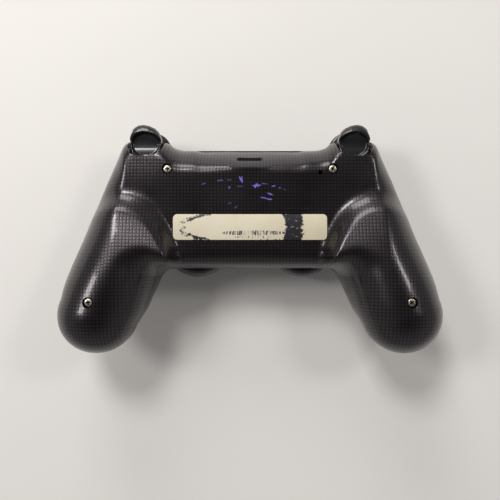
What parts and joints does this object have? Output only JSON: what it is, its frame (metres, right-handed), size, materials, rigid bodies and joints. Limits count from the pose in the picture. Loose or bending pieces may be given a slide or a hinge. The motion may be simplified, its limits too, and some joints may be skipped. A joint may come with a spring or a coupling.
{
  "type": "wireless gamepad",
  "caption": "Wireless twin-grip gamepad, lying face down on its thumb sticks, with sprung triggers, bumpers, buttons and a clicking touchpad in a glossy two-part shell.",
  "frame": {"origin": "below the middle of the object, on the surface that the two stick caps rest on", "axes": "+X the player's left hand, +Y the trigger side, +Z the back of the gamepad"},
  "size_m": [0.1626, 0.0974, 0.0523],
  "materials": {
    "gloss_shell": "clear-coated black film with a fine woven pattern",
    "gloss_trim": "glossy black",
    "black_plastic": "satin black",
    "grey_plastic": "satin grey",
    "rubber": "matte black",
    "soft_rubber": "matte grey",
    "steel": "plated",
    "brass": "satin",
    "board": "solder mask",
    "label": "worn paper film",
    "battery": "sleeve",
    "lens": "dark translucent"
  },
  "bodies": {
    "housing": {"battery_pack": "battery", "button_membrane": "soft_rubber", "extension_port": "black_plastic", "front_shell": "gloss_shell", "headset_jack": "black_plastic", "left_bumper_pin": "steel", "left_lower_screw": "steel", "left_rumble_motor": "steel", "left_stick_module": "grey_plastic", "left_trigger_bracket": "black_plastic", "left_trigger_pin": "steel", "left_trigger_spring": "steel", "left_upper_screw": "steel", "light_bar_lens": "lens", "main_board": "board", "mid_frame": "black_plastic", "pad_membrane": "soft_rubber", "rear_label": "label", "rear_shell": "gloss_shell", "reset_switch": "grey_plastic", "right_bumper_pin": "steel", "right_lower_screw": "steel", "right_rumble_motor": "steel", "right_stick_module": "grey_plastic", "right_trigger_bracket": "black_plastic", "right_trigger_pin": "steel", "right_trigger_spring": "steel", "right_upper_screw": "steel", "speaker": "steel", "touch_board": "board", "usb_board": "board", "usb_port": "steel"},
    "left_trigger": {"left_trigger": "gloss_trim"},
    "left_bumper": {"left_bumper": "gloss_trim"},
    "left_stick_carriage": {"left_stick_plunger": "black_plastic"},
    "left_stick_yoke": {"left_stick_yoke": "grey_plastic"},
    "left_stick": {"left_stick_shaft": "grey_plastic", "left_stick_cap": "rubber"},
    "left_stick_arch": {"left_stick_arch": "black_plastic"},
    "left_rumble_weight": {"left_rumble_weight": "brass"},
    "right_trigger": {"right_trigger": "gloss_trim"},
    "right_bumper": {"right_bumper": "gloss_trim"},
    "right_stick_carriage": {"right_stick_plunger": "black_plastic"},
    "right_stick_yoke": {"right_stick_yoke": "grey_plastic"},
    "right_stick": {"right_stick_shaft": "grey_plastic", "right_stick_cap": "rubber"},
    "right_stick_arch": {"right_stick_arch": "black_plastic"},
    "right_rumble_weight": {"right_rumble_weight": "brass"},
    "touchpad": {"touchpad": "black_plastic"},
    "pad_pivot": {"pad_pivot": "grey_plastic"},
    "direction_pad": {"direction_pad": "black_plastic"},
    "action_button_1": {"action_button_1": "black_plastic"},
    "action_button_2": {"action_button_2": "black_plastic"},
    "action_button_3": {"action_button_3": "black_plastic"},
    "action_button_4": {"action_button_4": "black_plastic"},
    "share_button": {"share_button": "black_plastic"},
    "options_button": {"options_button": "black_plastic"},
    "home_button": {"home_button": "black_plastic"},
    "reset_button": {"reset_button": "black_plastic"}
  },
  "joints": [
    {"name": "left_trigger_pull", "type": "hinge", "parent": "housing", "child": "left_trigger", "pos_m": [0.045, 0.036, 0.0195], "axis": [1, 0, 0], "range_deg": [0, 16], "stiffness_Nm_per_rad": 0.05, "springref_deg": -28.65},
    {"name": "left_bumper_press", "type": "hinge", "parent": "housing", "child": "left_bumper", "pos_m": [0.031, 0.0338, 0.0163], "axis": [0, 0, -1], "range_deg": [0, 2], "stiffness_Nm_per_rad": 0.2, "springref_deg": -8.59},
    {"name": "left_stick_press", "type": "slide", "parent": "housing", "child": "left_stick_carriage", "axis": [0, 0, 1], "range_m": [0, 0.0005], "stiffness_N_per_m": 3000, "springref_m": -0.001},
    {"name": "left_stick_tilt_x", "type": "hinge", "parent": "left_stick_carriage", "child": "left_stick_yoke", "pos_m": [0.0235, -0.00205, 0.0195], "axis": [1, 0, 0], "range_deg": [-18, 18], "stiffness_Nm_per_rad": 0.09},
    {"name": "left_stick_tilt_y", "type": "hinge", "parent": "left_stick_yoke", "child": "left_stick", "pos_m": [0.0235, -0.00205, 0.0195], "axis": [0, 1, 0], "range_deg": [-18, 18], "stiffness_Nm_per_rad": 0.09},
    {"name": "left_stick_arch_turn", "type": "hinge", "parent": "left_stick_carriage", "child": "left_stick_arch", "pos_m": [0.0235, -0.00205, 0.0195], "axis": [0, 1, 0], "range_deg": [-18, 18]},
    {"name": "left_rumble_spin", "type": "hinge", "parent": "housing", "child": "left_rumble_weight", "pos_m": [0.0638, -0.0065, 0.03], "axis": [1, 0, 0], "continuous": true},
    {"name": "right_trigger_pull", "type": "hinge", "parent": "housing", "child": "right_trigger", "pos_m": [-0.045, 0.036, 0.0195], "axis": [1, 0, 0], "range_deg": [0, 16], "stiffness_Nm_per_rad": 0.05, "springref_deg": -28.65},
    {"name": "right_bumper_press", "type": "hinge", "parent": "housing", "child": "right_bumper", "pos_m": [-0.031, 0.0338, 0.0163], "axis": [0, 0, 1], "range_deg": [0, 2], "stiffness_Nm_per_rad": 0.2, "springref_deg": -8.59},
    {"name": "right_stick_press", "type": "slide", "parent": "housing", "child": "right_stick_carriage", "axis": [0, 0, 1], "range_m": [0, 0.0005], "stiffness_N_per_m": 3000, "springref_m": -0.001},
    {"name": "right_stick_tilt_x", "type": "hinge", "parent": "right_stick_carriage", "child": "right_stick_yoke", "pos_m": [-0.0235, -0.00205, 0.0195], "axis": [1, 0, 0], "range_deg": [-18, 18], "stiffness_Nm_per_rad": 0.09},
    {"name": "right_stick_tilt_y", "type": "hinge", "parent": "right_stick_yoke", "child": "right_stick", "pos_m": [-0.0235, -0.00205, 0.0195], "axis": [0, 1, 0], "range_deg": [-18, 18], "stiffness_Nm_per_rad": 0.09},
    {"name": "right_stick_arch_turn", "type": "hinge", "parent": "right_stick_carriage", "child": "right_stick_arch", "pos_m": [-0.0235, -0.00205, 0.0195], "axis": [0, 1, 0], "range_deg": [-18, 18]},
    {"name": "right_rumble_spin", "type": "hinge", "parent": "housing", "child": "right_rumble_weight", "pos_m": [-0.0638, -0.0065, 0.03], "axis": [1, 0, 0], "continuous": true},
    {"name": "touchpad_click", "type": "hinge", "parent": "housing", "child": "touchpad", "pos_m": [0, 0.0335, 0.0126], "axis": [-1, 0, 0], "range_deg": [0, 1], "stiffness_Nm_per_rad": 0.5, "springref_deg": -5.73},
    {"name": "direction_pad_tilt_x", "type": "hinge", "parent": "housing", "child": "pad_pivot", "pos_m": [0.047, 0.0185, 0.016], "axis": [1, 0, 0], "range_deg": [-4, 4], "stiffness_Nm_per_rad": 0.03},
    {"name": "direction_pad_tilt_y", "type": "hinge", "parent": "pad_pivot", "child": "direction_pad", "pos_m": [0.047, 0.0185, 0.016], "axis": [0, 1, 0], "range_deg": [-4, 4], "stiffness_Nm_per_rad": 0.03},
    {"name": "action_button_1_press", "type": "slide", "parent": "housing", "child": "action_button_1", "axis": [0, 0, 1], "range_m": [0, 0.0015], "stiffness_N_per_m": 400, "springref_m": -0.0015},
    {"name": "action_button_2_press", "type": "slide", "parent": "housing", "child": "action_button_2", "axis": [0, 0, 1], "range_m": [0, 0.0015], "stiffness_N_per_m": 400, "springref_m": -0.0015},
    {"name": "action_button_3_press", "type": "slide", "parent": "housing", "child": "action_button_3", "axis": [0, 0, 1], "range_m": [0, 0.0015], "stiffness_N_per_m": 400, "springref_m": -0.0015},
    {"name": "action_button_4_press", "type": "slide", "parent": "housing", "child": "action_button_4", "axis": [0, 0, 1], "range_m": [0, 0.0015], "stiffness_N_per_m": 400, "springref_m": -0.0015},
    {"name": "share_button_press", "type": "slide", "parent": "housing", "child": "share_button", "axis": [0, 0, 1], "range_m": [0, 0.0006], "stiffness_N_per_m": 800, "springref_m": -0.001},
    {"name": "options_button_press", "type": "slide", "parent": "housing", "child": "options_button", "axis": [0, 0, 1], "range_m": [0, 0.0006], "stiffness_N_per_m": 800, "springref_m": -0.001},
    {"name": "home_button_press", "type": "slide", "parent": "housing", "child": "home_button", "axis": [0, 0, 1], "range_m": [0, 0.0008], "stiffness_N_per_m": 600, "springref_m": -0.001},
    {"name": "reset_button_press", "type": "slide", "parent": "housing", "child": "reset_button", "axis": [0, 0, -1], "range_m": [0, 0.0002], "stiffness_N_per_m": 2000, "springref_m": -0.0005}
  ],
  "couplings": [
    {"joint": "left_stick_arch_turn", "follows": "left_stick_tilt_y", "ratio": 1},
    {"joint": "right_stick_arch_turn", "follows": "right_stick_tilt_y", "ratio": 1}
  ]
}
